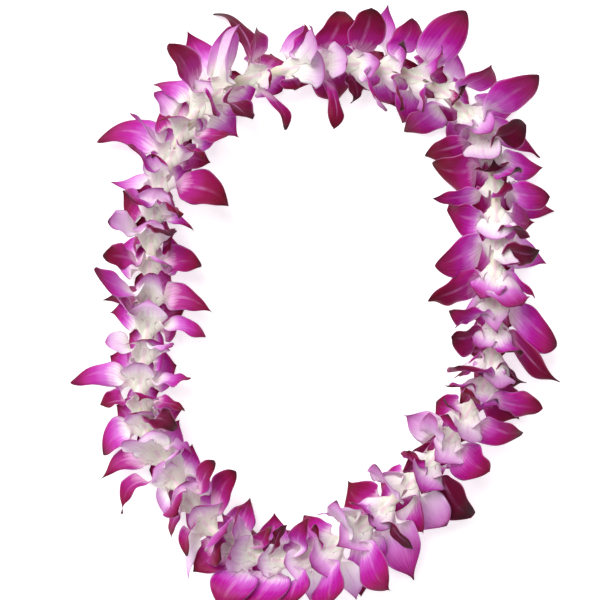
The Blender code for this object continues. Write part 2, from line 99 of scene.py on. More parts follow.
# How far out an organ has opened, how far out it has stepped off the next, and where its tip begins.
OPENED = 0.27
LAYERED = 0.25
TIP_START = 0.6
# Width added around the throat, and all along so that no tip thins to nothing.
BROAD_BASE = 4.0
LEAST_HALF = 0.45

# How far each kind strays to one side on its way to its tip.
SWAY = {"D": 3.2, "P": 1.8, "S": 3.2, "L": 1.0}

# How deep a tint is, from white with a touch of lilac to maroon.
TINTS = {"w": 0.0, "l": 0.25, "m": 0.5, "c": 0.75, "k": 1.0}

# The white runs farther out in the blossoms up the left side, and those at the lower right are deeper.
WHITER = (*range(28, 40), *range(44, 48))
WHITER_BY = 0.04
WHITE_REACH = 0.10
DEEPER = tuple(range(15, 23))
DEEPER_BY = 0.12

# The organs of one blossom stand at least so many degrees apart, and a hidden one usually so many.
LEAST_SPREAD = 36.0
USUAL_SPREAD = 55.0

# Seeds: for sizes, for outlines, for the hidden upper organs and for each blossom's surface.
SIZE_SEED = 11
OUTLINE_SEED = 29
HOOD_SEED = 31
BLOOM_SEED = 500

# Each blossom: how far along the strand its base is, the organs that point up, from the outer side of the
# loop to the inner side, and for each its tip (x, y), how far its face turns up, its width, its tint
# and, for some, how far its middle strays sideways and how near its tip it is widest.
BLOSSOMS = [
    (0, "SPD", [(-12, 197, 40, 1.0, "l"), (-5, 191, 50, 0.5, "m"), (0, 194, 10, 1.2, "l")]),
    (21, "PDP", [(19, 200, 60, 1, "c"), None, (14, 119, 40, 0.5, "c", 3, 2.2)]),
    (43, "PDPS", [(37, 204, 60, 1, "c"), None, (46, 129, 40, 1.1, "m"), (28, 137, 10, 0.5, "k")]),
    (66, "SPDP", [(49, 211, 30, 0.8, "l", 4), (69, 196, 60, 0.9, "m"), (62, 178, 0, 1, "k"),
        (61, 131, 40, 0.9, "c")]),
    (88, "PDP", [(100, 200, 60, 1.35, "m"), (91, 172, 0, 1, "k"), (73, 129, 40, 0.8, "m")]),
    (111, "SPDP", [(102, 176, 40, 1.3, "l"), (121, 158, 40, 1.3, "m"), (103, 151, 0, 1.3, "k"),
        (63, 118, 40, 1.3, "m")]),
    (133, "SPD", [(147, 139, 30, 0.8, "m"), (155, 158, 60, 1.0, "m", 5), (123, 113, 0, 1, "l")]),
    (150, "SPDP", [(158, 101, 40, 1, "m"), (144, 124, 50, 1, "k"), None, (75, 104, 60, 1.35, "c")]),
    (168, "SPDP", [(161, 90, 30, 1, "m", -4), (140, 90, 20, 0.8, "k"), (122, 90, 0, 1.2, "k"),
        (81, 94, 50, 1.3, "c", 5)]),
    (188, "SPDP", [(170, 60, 30, 1, "m", -4), (161, 72, 60, 1, "m"), (133, 90, 0, 1, "l"),
        (81, 71, 30, 0.6, "m")]),
    (208, "PDP", [(150, 48, 50, 0.9, "k"), None, (93, 63, 60, 1, "m")]),
    (227, "SPDP", [(165, 29, 40, 1.05, "l"), (155, 33, 50, 1, "k"), (142, 23, 0, 0.7, "w"),
        (84, 22, 65, 1.3, "m")]),
    (248, "SPDP", [(154, 0, 40, 0.9, "m"), (140, -2, 20, 1.2, "c"), (114, 0, 10, 1.4, "c"),
        (77, 0, 50, 1, "c", 3)]),
    (268, "PDPS", [(168, -41, 60, 1.2, "m"), None, (93, -11, 40, 1.0, "m"), (98, -19, 30, 0.8, "l")]),
    (287, "SPDP", [(164, -60, 30, 1.0, "c", -6), (140, -36, 10, 0.8, "c"), (112, -34, 10, 0.8, "l"),
        (93, -25, 45, 1.1, "c", 4)]),
    (308, "SPDPS", [(143, -62, 30, 1.2, "k"), None, None, (97, -45, 50, 1.5, "m"),
        (98, -57, 40, 1.1, "m")]),
    (328, "SPDPS", [(144, -84, 30, 1.3, "c"), (158, -73, 40, 0.8, "m", 3), None, (105, -60, 30, 0.6, "l"),
        (88, -62, 20, 0.6, "c")]),
    (350, "PDPS", [(144, -96, 50, 0.9, "m", 3), None, (93, -69, 40, 0.6, "w"), (89, -75, 10, 0.4, "c")]),
    (371, "PDPS", [(121, -119, 60, 1.2, "m"), None, (77, -77, 40, 0.95, "w"), (62, -80, 50, 1.35, "w")]),
    (393, "PDP", [(107, -153, 40, 1.15, "k"), None, (65, -103, 60, 0.95, "m")]),
    (414, "SPDPS", [None, (91, -158, 30, 1.15, "w"), (76, -162, 40, 1.9, "m"), (43, -111, 40, 1.25, "w"),
        (41, -122, 30, 1.3, "w")]),
    (438, "SPDP", [(68, -199, 30, 1.6, "l"), (70, -171, 30, 0.7, "k"), None, (25, -137, 40, 0.8, "c")]),
    (458, "SPDPS", [(24, -215, 50, 1.5, "m"), (49, -199, 60, 1.1, "m"), None, (12, -138, 40, 1.1, "w"),
        (2, -148, 40, 1.2, "w")]),
    (483, "SPDP", [(33, -211, 20, 1.0, "w"), (11, -212, 60, 1.4, "m"), None, (0, -155, 30, 0.6, "c")]),
    (504, "SPDP", [(-2, -214, 30, 1.1, "w"), (-16, -212, 50, 1.2, "m"), None, (-10, -152, 60, 1, "m")]),
    (524, "PDP", [(-46, -216, 60, 1.3, "m"), None, (-22, -155, 40, 0.6, "k")]),
    (542, "SPDPS", [None, (-68, -213, 60, 1.2, "m"), None, (-53, -141, 50, 0.8, "m"),
        (-33, -157, 30, 1.1, "c")]),
    (560, "PDP", [(-63, -183, 50, 0.9, "c"), (-56, -154, 10, 1.6, "w"), (-63, -152, 20, 0.5, "c")]),
    (581, "SPDP", [(-79, -202, 10, 0.5, "w"), (-89, -178, 40, 0.7, "c"), None,
        (-54, -119, 60, 0.75, "c", 5)]),
    (601, "SPDP", [(-101, -171, 20, 1.0, "c"), (-81, -167, 30, 0.8, "l"), None, (-71, -112, 60, 0.9, "c")]),
    (620, "SPDP", [(-105, -161, 30, 1.2, "l"), (-126, -160, 40, 0.6, "c", -12, 0.55), None,
        (-95, -103, 20, 0.6, "w")]),
    (640, "SPDP", [(-148, -131, 20, 0.6, "c", -8, 0.55), None, None, (-84, -102, 40, 0.5, "l")]),
    (662, "PDP", [(-150, -109, 50, 0.85, "m"), (-121, -76, 10, 1, "l"), (-91, -97, 50, 1, "k")]),
    (678, "PDP", [(-149, -76, 40, 0.85, "c"), (-119, -66, 0, 0.9, "l"), (-90, -75, 20, 0.5, "c")]),
    (694, "PDP", [(-170, -60, 50, 0.52, "m", -4), None, (-86, -57, 20, 0.5, "m")]),
    (714, "PDP", [(-147, -30, 50, 0.9, "w"), (-111, -27, 0, 1.6, "m"), (-98, -33, 30, 0.7, "l")]),
    (734, "PDP", [(-145, 28, 40, 1.15, "c"), None, (-76, -25, 20, 0.5, "m")]),
    (752, "SPDP", [(-152, -2, 10, 0.5, "k"), (-154, 19, 40, 1.15, "m", 5), (-111, 23, 0, 0.9, "l"),
        (-71, -11, 50, 0.65, "c", 3, 0.58)]),
    (776, "PDP", [(-144, 29, 40, 0.9, "c"), (-103, 24, 0, 0.9, "l"), (-80, 25, 50, 0.9, "c")]),
    (794, "PDP", [(-143, 55, 40, 0.9, "w"), None, (-97, 42, 50, 0.8, "k")]),
    (813, "PDPS", [(-132, 68, 60, 1.1, "m"), None, (-92, 55, 30, 0.5, "c"), (-84, 50, 10, 0.4, "m")]),
    (835, "SPDP", [(-145, 81, 20, 0.6, "l", 3), (-128, 106, 50, 0.9, "m"), (-112, 104, 0, 0.9, "l"),
        (-60, 69, 70, 1.85, "c")]),
    (855, "PDP", [(-154, 115, 50, 0.55, "m", -4), (-125, 132, 0, 1, "l"), (-77, 99, 40, 0.8, "c")]),
    (875, "PDP", [(-115, 144, 30, 0.8, "l"), (-105, 125, 10, 0.8, "c"), (-57, 111, 40, 0.7, "c")]),
    (895, "SPDP", [(-115, 153, 20, 0.7, "m"), (-100, 174, 50, 0.9, "c"), None, (-77, 125, 30, 0.7, "l")]),
    (911, "SPDP", [(-91, 191, 40, 0.9, "m"), (-60, 190, 30, 0.9, "l"), (-49, 192, 0, 1.8, "l"),
        (-46, 124, 50, 1.1, "k")]),
    (940, "PDPS", [(-71, 208, 10, 0.3, "k"), (-40, 190, 20, 1.6, "c"), (-35, 146, 20, 0.45, "c"),
        (-17, 122, 40, 0.65, "c", 4, 2.3)]),
]


# ---- The strand ----

# How far the centreline and its direction are evened out.
LINE_BLUR = 8.0
AHEAD_BLUR = 12.0


def blurred(values, sigma):
    """A closed run of values, one a millimetre, evened out over about sigma millimetres."""
    reach = int(3 * sigma)
    weights = np.exp(-0.5 * (np.arange(-reach, reach + 1) / sigma) ** 2)
    weights = weights / weights.sum()
    total = np.zeros_like(values)
    for step, weight in zip(range(-reach, reach + 1), weights):
        total = total + weight * np.roll(values, step, axis=0)
    return total


def rounded_curve(points, per_span=60):
    """A closed curve through the listed points."""
    points = np.array(points, float)
    before = np.roll(points, 1, axis=0)
    after = np.roll(points, -1, axis=0)
    beyond = np.roll(points, -2, axis=0)
    spans = []
    for f in np.linspace(0.0, 1.0, per_span, endpoint=False):
        spans.append(0.5 * (2 * points + (after - before) * f
                            + (2 * before - 5 * points + 4 * after - beyond) * f ** 2
                            + (3 * points - before - 3 * after + beyond) * f ** 3))
    return np.stack(spans, axis=1).reshape(-1, 2)


def lay_strand():
    """Positions and outward directions, one a millimetre along the strand, and its length."""
    dense = rounded_curve(STRAND)
    dense = np.vstack([dense, dense[:1]])
    run = np.concatenate([[0.0], np.cumsum(np.linalg.norm(np.diff(dense, axis=0), axis=1))])
    count = int(round(run[-1]))
    at = np.linspace(0.0, run[-1], count, endpoint=False)
    line = np.stack([np.interp(at, run, dense[:, k]) for k in (0, 1)], axis=1)
    line = blurred(line, LINE_BLUR)
    ahead = blurred(np.roll(line, -1, axis=0) - np.roll(line, 1, axis=0), AHEAD_BLUR)
    ahead = ahead / np.linalg.norm(ahead, axis=1)[:, None]
    outward = np.stack([-ahead[:, 1], ahead[:, 0]], axis=1)
    return line, outward, float(count)


LINE, OUTWARD, LENGTH = lay_strand()


def frame_offset():
    """How far the CAD's thread, and so the whole frame, is moved from the points listed above."""
    low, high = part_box("thread")
    middle = (np.array(low) + np.array(high)) / 2.0 / MM
    return middle[:2] - (LINE.min(axis=0) + LINE.max(axis=0)) / 2.0


OFFSET = frame_offset()


def along(table, s):
    """A table of one row a millimetre, read at any distance along the closed strand."""
    s = np.mod(s, LENGTH)
    low = np.floor(s).astype(int) % len(table)
    high = (low + 1) % len(table)
    share = (s - np.floor(s))[..., None]
    return table[low] * (1 - share) + table[high] * share


def placed(s, n, h):
    """World points for distance along the strand, distance outward from it and height over the surface."""
    flat = along(LINE, s) + along(OUTWARD, s) * n[..., None] + OFFSET
    return np.concatenate([flat, h[..., None]], axis=-1)


def strand_place(x, y, near):
    """How far past near, and how far outward, the point (x, y) lies."""
    steps = np.arange(-30.0, 75.0, 1.0)
    spots = along(LINE, near + steps)
    sides = along(OUTWARD, near + steps)
    offset = np.array([x, y]) - spots
    best = int(np.argmin(np.sum(offset ** 2, axis=1)))
    return steps[best], float(np.sum(offset[best] * sides[best]))


# ---- The organs and how they lie ----

# A trumpet's slope at the throat, and the radius by which its mean slope has halved.
TRUMPET_SLOPE = 2.0
TRUMPET_BEND = 13.0
# An organ's length against the usual: the part lost straight up or down, and the least and the most.
UPRIGHT_LOSS = 0.30
LEAST_SHARE = 0.62
MOST_SHARE = 1.3
# How far a lower organ goes on along the surface that the lei lies on.
ON_SURFACE = 9.0


def flare(r, up):
    """How far forward of its base a blossom's trumpet lies at radius r, up being the sine of the direction.

    The blossoms lie squashed: their organs spread wide to both sides and trail forward above and below.
    """
    return TRUMPET_SLOPE * r / (1.0 + r / TRUMPET_BEND) * (1.0 + SQUASH * up * up)


def usual_reach(kind, up):
    """How far an organ of this kind stands out from the thread; shorter above and below than to the sides."""
    return REACH[kind] * (1.0 - UPRIGHT_LOSS * up * up)


def spread_angles(angles, weights, least):
    """Pushes the organs of one blossom apart until each pair of neighbours is at least so far apart."""
    angles = list(angles)
    count = len(angles)
    for _ in range(200):
        for a in range(count):
            b = (a + 1) % count
            gap = (angles[b] - angles[a]) % 360.0
            if gap > 330.0:
                gap -= 360.0
            if gap < least:
                push = least - gap
                share = weights[b] / (weights[a] + weights[b])
                angles[a] -= push * share * 0.5
                angles[b] += push * (1.0 - share) * 0.5
    return angles


def ring_angles(kinds, tips, base):
    """The direction of each of a blossom's six organs, in degrees, and what is known of each seen tip."""
    seen = []
    for kind, tip in zip(kinds, tips):
        if tip is None:
            seen.append(None)
            continue
        ahead, outward = strand_place(tip[0], tip[1], base)
        trial = np.radians(np.arange(8.0, 173.0, 1.0))
        spread = usual_reach(kind, np.sin(trial)) * np.cos(trial)
        angle = math.degrees(trial[int(np.argmin(np.abs(spread - outward)))])
        seen.append({"angle": angle, "ahead": ahead, "outward": outward, "turn": tip[2], "width": tip[3],
                     "tint": TINTS[tip[4]], "sway": tip[5] if len(tip) > 5 else None,
                     "belly": tip[6] if len(tip) > 6 else None})
    count = len(seen)
    known = [k for k in range(count) if seen[k] is not None]
    angles = []
    for k in range(count):
        left = [q for q in known if q < k]
        right = [q for q in known if q > k]
        if seen[k] is not None:
            angles.append(seen[k]["angle"])
        elif left and right:
            share = (k - left[-1]) / (right[0] - left[-1])
            angles.append(seen[left[-1]]["angle"] * (1 - share) + seen[right[0]]["angle"] * share)
        elif right:
            angles.append(seen[right[0]]["angle"] - USUAL_SPREAD * (right[0] - k))
        else:
            angles.append(seen[left[-1]]["angle"] + USUAL_SPREAD * (k - left[-1]))
    hidden = len(RING_ORDER) - count
    gap = 360.0 - (angles[-1] - angles[0])
    for k in range(hidden):
        angles.append(angles[count - 1] + gap * (k + 1) / (hidden + 1))
    seen = seen + [None] * hidden
    weights = [1.0 if entry is None else 4.0 for entry in seen]
    return spread_angles(angles, weights, LEAST_SPREAD), seen


def grow_organs():
    """One record for each organ of each blossom, in the order that they stand around it."""
    rng = np.random.default_rng(SIZE_SEED)
    whim = np.random.default_rng(OUTLINE_SEED)
    hoods = np.random.default_rng(HOOD_SEED)
    count = len(RING_ORDER)
    organs = []
    for index, (base, kinds, tips) in enumerate(BLOSSOMS):
        start = (RING_ORDER * 2).index(kinds)
        ring = (RING_ORDER * 2)[start:start + count]
        angles, seen = ring_angles(kinds, tips, base)
        for k, kind in enumerate(ring):
            angle = math.radians(angles[k])
            side = math.cos(angle)
            rise = math.sin(angle)
            reach = usual_reach(kind, rise) * rng.uniform(0.94, 1.05)
            ahead, turn, width = None, 35.0, rng.uniform(0.85, 1.0)
            tint = rng.uniform(0.45, 0.85)
            tip = seen[k]
            if tip is not None:
                ahead, turn, width, tint = (tip[key] for key in ("ahead", "turn", "width", "tint"))
                if abs(side) > 0.25:
                    reach = float(np.clip(tip["outward"] / side, LEAST_SHARE * REACH[kind], LONGEST_REACH))
                if rise > 0.75:
                    reach = min(reach, MOST_SHARE * REACH[kind])
            else:
                aside = SLIM_ASIDE if index + 1 in SLIM else HIDDEN_ASIDE
                reach = min(reach, aside / max(abs(side), 0.3))
                if rise < 0.0:
                    reach = min(1.15 * reach, THREAD_HEIGHT / abs(rise) + ON_SURFACE)
                    width = width * 1.3
                # Hidden organs on top are short, broad and pale, and close over the next throat.
                if rise > 0.3:
                    tint = 0.8 * (tint - 0.4)
                if rise > 0.5:
                    reach = reach * hoods.uniform(0.62, 0.98)
                    width = width * hoods.uniform(1.15, 1.8)
            if index + 1 in WHITER:
                tint = max(tint - WHITER_BY, 0.0)
            if index + 1 in DEEPER:
                tint = min(tint + DEEPER_BY, 1.0)
            lift = 0.0
            if rise > 0.0 and tip is None:
                reach = min(reach, HIGHEST_TIP / max(rise, 0.2))
            elif rise > 0.0:
                lift = min(0.0, HIGHEST_TIP - rise * reach)
            shift = 0.0
            if ahead is not None:
                shift = float(np.clip(ahead - flare(reach, rise), -MOST_SHIFT, MOST_SHIFT))
            sway = whim.uniform(-1.0, 1.0) * SWAY[kind]
            belly = BELLY[kind] * whim.uniform(0.8, 1.2)
            if tip is not None:
                sway = sway if tip["sway"] is None else tip["sway"]
                belly = belly if tip["belly"] is None else tip["belly"]
            tail = 0.0
            if belly < NEAR_TIP:
                tail = TAIL[kind] * whim.uniform(0.5, 1.5) + TAILED * (belly < NEAR_BASE)
            organs.append({
                "blossom": index, "base": float(base), "kind": kind, "angle": angle, "reach": reach,
                "turn": math.radians(45.0 + 0.4 * turn), "half": HALF_WIDTH[kind] * width,
                "shift": shift, "lift": lift,
                "before": math.radians((angles[k] - angles[k - 1]) % 360.0),
                "after": math.radians((angles[(k + 1) % count] - angles[k]) % 360.0),
                "cup": float(rng.uniform(-0.10, 0.16)), "front": 1.0 if kind in "PL" else -1.0,
                "belly": belly, "fullness": FULLNESS[kind], "tail": tail,
                "twist": whim.uniform(-0.32, 0.32), "bow": whim.uniform(-1.0, 3.0),
                "sway": sway, "hook": whim.uniform(-1.4, 1.4) * SWAY[kind],
                "tint": tint, "seen": tip is not None,
            })
    return organs


def organ_sheet(o, l, v):
    """(s, n, h) of the organ's middle surface, l from the throat (0) to the tip (1), v across (-1 to 1)."""
    r = THROAT_RADIUS + (o["reach"] - THROAT_RADIUS) * l
    cos_a, sin_a = np.cos(o["angle"]), np.sin(o["angle"])
    past = np.maximum(l, 0.0)
    opened = np.clip(l / OPENED, 0.0, 1.0)
    opened = opened * opened * (3.0 - 2.0 * opened)
    layered = np.clip(l / LAYERED, 0.0, 1.0)
    late = np.clip((l - TIP_START) / (1.0 - TIP_START), 0.0, 1.0)
    turn = o["turn"] * opened * cos_a + o["twist"] * past ** 2
    fullness = o["fullness"] + o["tail"] * late
    outline = np.maximum(np.sin(np.pi * np.clip(l, 0.0, 1.0) ** o["belly"]), 0.0) ** fullness
    half = o["half"] * outline + BROAD_BASE * (1.0 - past) ** 2 + LEAST_HALF * (1.0 - past ** 10)
    room = np.where(v < 0.0, np.tan(np.minimum(o["before"] / 2.0, 1.1)),
                    np.tan(np.minimum(o["after"] / 2.0, 1.1)))
    loose = np.clip((l - 0.08) / 0.3, 0.0, 1.0)
    half = np.where(l < TIP_START, np.minimum(half, 1.03 * r * room + 40.0 * loose), half)
    across = v * half + o["sway"] * np.sin(np.pi * past) + o["hook"] * late ** 2
    lifted = layered * o["front"] * LAYER_STEP + opened * o["cup"] * half * v * v
    step = across * np.cos(turn) + lifted * np.sin(turn)
    n = r * cos_a - step * sin_a
    up = r * sin_a + step * cos_a
    radius = np.hypot(n, up)
    s = o["base"] + flare(radius, up / np.maximum(radius, 0.1))
    s = s - across * np.sin(turn) + lifted * np.cos(turn) + o["shift"] * past ** 1.5
    h = THREAD_HEIGHT + up + o["lift"] * past ** 1.3 + o["bow"] * np.sin(np.pi * past)
    h = LOWEST_SHEET + SOFT_LIMIT * np.logaddexp(0.0, (h - LOWEST_SHEET) / SOFT_LIMIT)
    h = HIGHEST_SHEET - SOFT_LIMIT * np.logaddexp(0.0, (HIGHEST_SHEET - h) / SOFT_LIMIT)
    return s, n, h


def together(organs, keys):
    """The named values of all organs as columns, so that one call lays out every organ at once."""
    return {key: np.array([o[key] for o in organs], float)[:, None] for key in keys}


# How often the organs are moved: the turns in all, those before the moves turn gentle, those in which an
# organ may still change sides, and those before organs that stay crossed are narrowed and shortened.
SETTLE_TURNS = 180
GENTLE_TURNS = 90
OPEN_TURNS = 6
NARROW_TURNS = 25
SHORTEN_TURNS = 50
# How far an organ may be lowered and lifted.
LEAST_LIFT = -24.0
MOST_LIFT = 16.0
# Points are compared within square cells, each with so many of the points above it. So many cells fit
# across the strand, the first this far inside it.
CELL = 3.0
CELLS_ACROSS = 60
CELLS_START = 75.0
MOST_IN_CELL = 25
# Organs of one blossom may touch up to here, as they are joined at the throat.
SHARED_BASE = 0.45
# How clear of the thread an organ stays above or below it, and how near it counts as that.
THREAD_ROOM = 8.0
THREAD_ASIDE = 7.5
# An organ that still crosses another by this much is narrowed and, if hidden, shortened.
STUCK = 1.0
SHORTEST_REACH = 14.0


def meetings(s, n, h, owner, out, flower, shifted):
    """Pairs of points of different organs that share a cell, the lower point of each pair first."""
    half_cell = 0.5 * CELL * shifted
    key = np.floor(np.mod(s + half_cell, LENGTH) / CELL) * CELLS_ACROSS
    key = key + np.floor((n + half_cell + CELLS_START) / CELL)
    sort = np.lexsort((h, key))
    pairs = []
    for step in range(1, MOST_IN_CELL + 1):
        a, b = sort[:-step], sort[step:]
        good = (key[a] == key[b]) & (owner[a] != owner[b])
        kin = flower[owner[a]] == flower[owner[b]]
        good &= ~(kin & ((out[a] < SHARED_BASE) | (out[b] < SHARED_BASE)))
        pairs.append((a[good], b[good]))
    return (np.concatenate([pair[k] for pair in pairs]) for k in (0, 1))


def settle(organs):
    """Lifts or lowers the organs until each lies clear over or under every other that it crosses."""
    l, v = np.meshgrid(np.linspace(0.12, 1.0, 15), np.linspace(-1.0, 1.0, 9), indexing="ij")
    l, v = l.ravel()[None, :], v.ravel()[None, :]
    count = len(organs)
    keys = ("base", "angle", "reach", "turn", "half", "shift", "lift", "before", "after", "cup", "front",
            "belly", "fullness", "tail", "twist", "bow", "sway", "hook")
    pack = together(organs, keys)
    owner = np.repeat(np.arange(count), l.size)
    out = np.tile(l.ravel(), count)
    flower = np.array([o["blossom"] for o in organs])
    above = np.sin(pack["angle"][:, 0])
    hidden = np.array([not o["seen"] for o in organs])
    order = np.zeros((count, count), np.int8)
    for turn_no in range(SETTLE_TURNS):
        s, n, h = (part.ravel() for part in organ_sheet(pack, l, v))
        a, b = meetings(s, n, h, owner, out, flower, turn_no % 2)
        # Two organs' mean heights where they first meet decide which of them is on top from then on.
        if turn_no < OPEN_TURNS:
            order[:] = 0
        score = np.zeros((count, count))
        np.add.at(score, (owner[b], owner[a]), h[b] - h[a])
        score = score - score.T
        fresh = (order == 0) & (score != 0)
        order[fresh] = np.sign(score[fresh])
        upper = order[owner[b], owner[a]] > 0
        top = np.where(upper, b, a)
        low = np.where(upper, a, b)
        # Where either organ stands steeply, the same clearance needs more height.
        lean = np.abs(np.cos(pack["turn"] * np.cos(pack["angle"])))[:, 0]
        slant = 1.0 + 1.2 * np.maximum(lean[owner[top]], lean[owner[low]]) ** 4
        short = SHEET_ROOM * slant - (h[top] - h[low])
        bad = short > 0.0
        top, low, short = top[bad], low[bad], short[bad]
        weight_top, weight_low = out[top] ** 1.3, out[low] ** 1.3
        norm = weight_top * weight_top + weight_low * weight_low
        push = np.zeros(count)
        pull = np.zeros(count)
        clashes = np.zeros(count)
        np.maximum.at(push, owner[top], short * weight_top / norm)
        np.maximum.at(pull, owner[low], short * weight_low / norm)
        np.maximum.at(clashes, owner[top], short)
        np.maximum.at(clashes, owner[low], short)
        # Organs that cross over or under the thread keep clear of it.
        near = (np.abs(n) < THREAD_ASIDE) & (out > 0.3)
        side = np.sign(above[owner])
        wall = THREAD_ROOM - side * (h - THREAD_HEIGHT)
        hit = near & (wall > 0.0) & (np.abs(above[owner]) > 0.35)
        over = hit & (side > 0)
        under = hit & (side < 0)
        np.maximum.at(push, owner[over], wall[over])
        np.maximum.at(pull, owner[under], wall[under])
        gain = 0.4 if turn_no < GENTLE_TURNS else 0.2
        pack["lift"][:, 0] = np.clip(pack["lift"][:, 0] + gain * (push - pull), LEAST_LIFT, MOST_LIFT)
        if turn_no > NARROW_TURNS:
            pack["half"][clashes > STUCK] *= 0.995
        if turn_no > SHORTEN_TURNS:
            crowded = (clashes > STUCK) & hidden
            pack["reach"][crowded] = np.maximum(pack["reach"][crowded] * 0.997, SHORTEST_REACH)
    for k, o in enumerate(organs):
        for key in ("lift", "half", "reach"):
            o[key] = float(pack[key][k, 0])


# ---- Mesh building ----

def add_object(name, data):
    """A new object in the scene."""
    thing = bpy.data.objects.new(name, data)
    bpy.context.scene.collection.objects.link(thing)
    return thing


class Shape:
    """Vertices, faces and per-vertex values of one piece, gathered shell by shell."""

    def __init__(self):
        self.points = []
        self.faces = []
        self.values = {"along": [], "across": [], "tint": [], "seed": [], "white": []}
        self.total = 0

    def add(self, points, faces, **values):
        """Adds one closed shell, with a number or a row of numbers for each value."""
        count = len(points)
        self.points.append(np.asarray(points, float))
        self.faces.extend([tuple(int(i) + self.total for i in face) for face in faces])
        for key, store in self.values.items():
            store.append(np.broadcast_to(np.asarray(values.get(key, 0.0), float), (count,)))
        self.total += count

    def make(self, name, material):
        """The finished piece, in metres."""
        mesh = bpy.data.meshes.new(name)
        points = np.concatenate(self.points) * MM
        mesh.from_pydata([tuple(p) for p in points], [], self.faces)
        for key, store in self.values.items():
            layer = mesh.attributes.new(key, "FLOAT", "POINT")
            layer.data.foreach_set("value", np.concatenate(store).astype(np.float32))
        mesh.polygons.foreach_set("use_smooth", [True] * len(mesh.polygons))
        mesh.materials.append(material)
        mesh.update()
        return add_object(name, mesh)


def grid_normals(grid):
    """Unit normals of a grid of points, (rows, columns, 3)."""
    down = np.gradient(grid, axis=0)
    right = np.gradient(grid, axis=1)
    normal = np.cross(down, right)
    size = np.linalg.norm(normal, axis=2, keepdims=True)
    return normal / np.maximum(size, 1e-9)


def add_leaf(shape, grid, tip, l, v, thickness, face_tint, back_tint, seed, white):
    """A closed leaf around a grid of middle points: two skins that meet along its edge, base and tip."""
    rows, columns = grid.shape[:2]
    normal = grid_normals(grid)
    edge = np.clip(1.0 - np.abs(v) ** 8, 0.0, 1.0) * np.clip((l - l[0, 0]) / 0.04, 0.0, 1.0)
    edge = edge * np.clip((1.0 - l) / 0.03, 0.3, 1.0)
    offset = normal * (0.5 * thickness * edge)[..., None]
    number = np.arange(rows * columns).reshape(rows, columns)
    inside = number[1:, 1:-1]
    inner = number.copy()
    base = rows * columns + 1
    inner[1:, 1:-1] = base + np.arange(inside.size).reshape(inside.shape)
    front = grid + offset
    front[0] = grid[0]
    front[:, 0] = grid[:, 0]
    front[:, -1] = grid[:, -1]
    back = (grid - offset)[1:, 1:-1].reshape(-1, 3)
    points = np.concatenate([front.reshape(-1, 3), tip[None, :], back])
    tip_number = rows * columns
    faces = []
    for i in range(rows - 1):
        for j in range(columns - 1):
            faces.append((number[i, j], number[i + 1, j], number[i + 1, j + 1], number[i, j + 1]))
            faces.append((inner[i, j], inner[i, j + 1], inner[i + 1, j + 1], inner[i + 1, j]))
    for j in range(columns - 1):
        faces.append((number[-1, j], tip_number, number[-1, j + 1]))
        faces.append((inner[-1, j], inner[-1, j + 1], tip_number))
    middle = 0.5 * (face_tint + back_tint)
    tint = np.full((rows, columns), face_tint)
    tint[0], tint[:, 0], tint[:, -1] = middle, middle, middle
    tints = np.concatenate([tint.ravel(), [middle], np.full(inside.size, back_tint)])

    def spread(values):
        """Values of the whole grid in the order of the leaf's points."""
        values = np.broadcast_to(values, (rows, columns))
        return np.concatenate([values.ravel(), [values[-1, 0]], values[1:, 1:-1].ravel()])

    lengths = spread(l)
    lengths[tip_number] = 1.0
    shape.add(points, faces, along=lengths, across=spread(v), tint=tints, seed=seed, white=white)


def organ_grid(o, rng):
    """The organ's detailed middle surface and its tip: laid shape, folded midrib, waves and curl."""
    root = -(THROAT_RADIUS - ROOT_RADIUS) / (o["reach"] - THROAT_RADIUS)
    l = np.linspace(root, 0.985, LENGTH_STEPS)[:, None]
    v = np.linspace(-1.0, 1.0, WIDTH_STEPS + 1)[None, :]
    everywhere = np.ones((LENGTH_STEPS, WIDTH_STEPS + 1))
    grid = placed(*organ_sheet(o, l * everywhere, v * everywhere))
    normal = grid_normals(grid)
    wave = rng.uniform(0.8, 2.0) if o["kind"] == "P" else rng.uniform(0.4, 1.1)
    ripple = wave * np.abs(v) ** 2.5 * np.sin(2 * np.pi * (l * rng.uniform(1.6, 2.8) + rng.uniform(0, 1))
                                              + np.sign(v) * rng.uniform(0.3, 1.4))
    groove = -0.4 * np.exp(-(v / 0.16) ** 2) * np.sin(np.pi * np.clip(l * 1.05, 0, 1))
    curl = rng.uniform(-5.0, 7.0) * np.clip((l - 0.7) / 0.3, 0, 1) ** 2
    rolled = -rng.uniform(0.0, 2.6) * np.abs(v) ** 4 * np.sin(np.pi * np.clip(l, 0, 1))
    body = np.sin(np.pi * np.clip(l, 0, 1)) ** 0.5
    moved = grid + normal * (ripple * body + groove + rolled - curl)[..., None]
    moved[..., 2] = np.maximum(moved[..., 2], 0.3)
    last = moved[-1].mean(axis=0)
    before = moved[-2].mean(axis=0)
    tip = last + (last - before) * 0.6
    tip[2] = max(tip[2], 0.25)
    return moved, tip, l, v


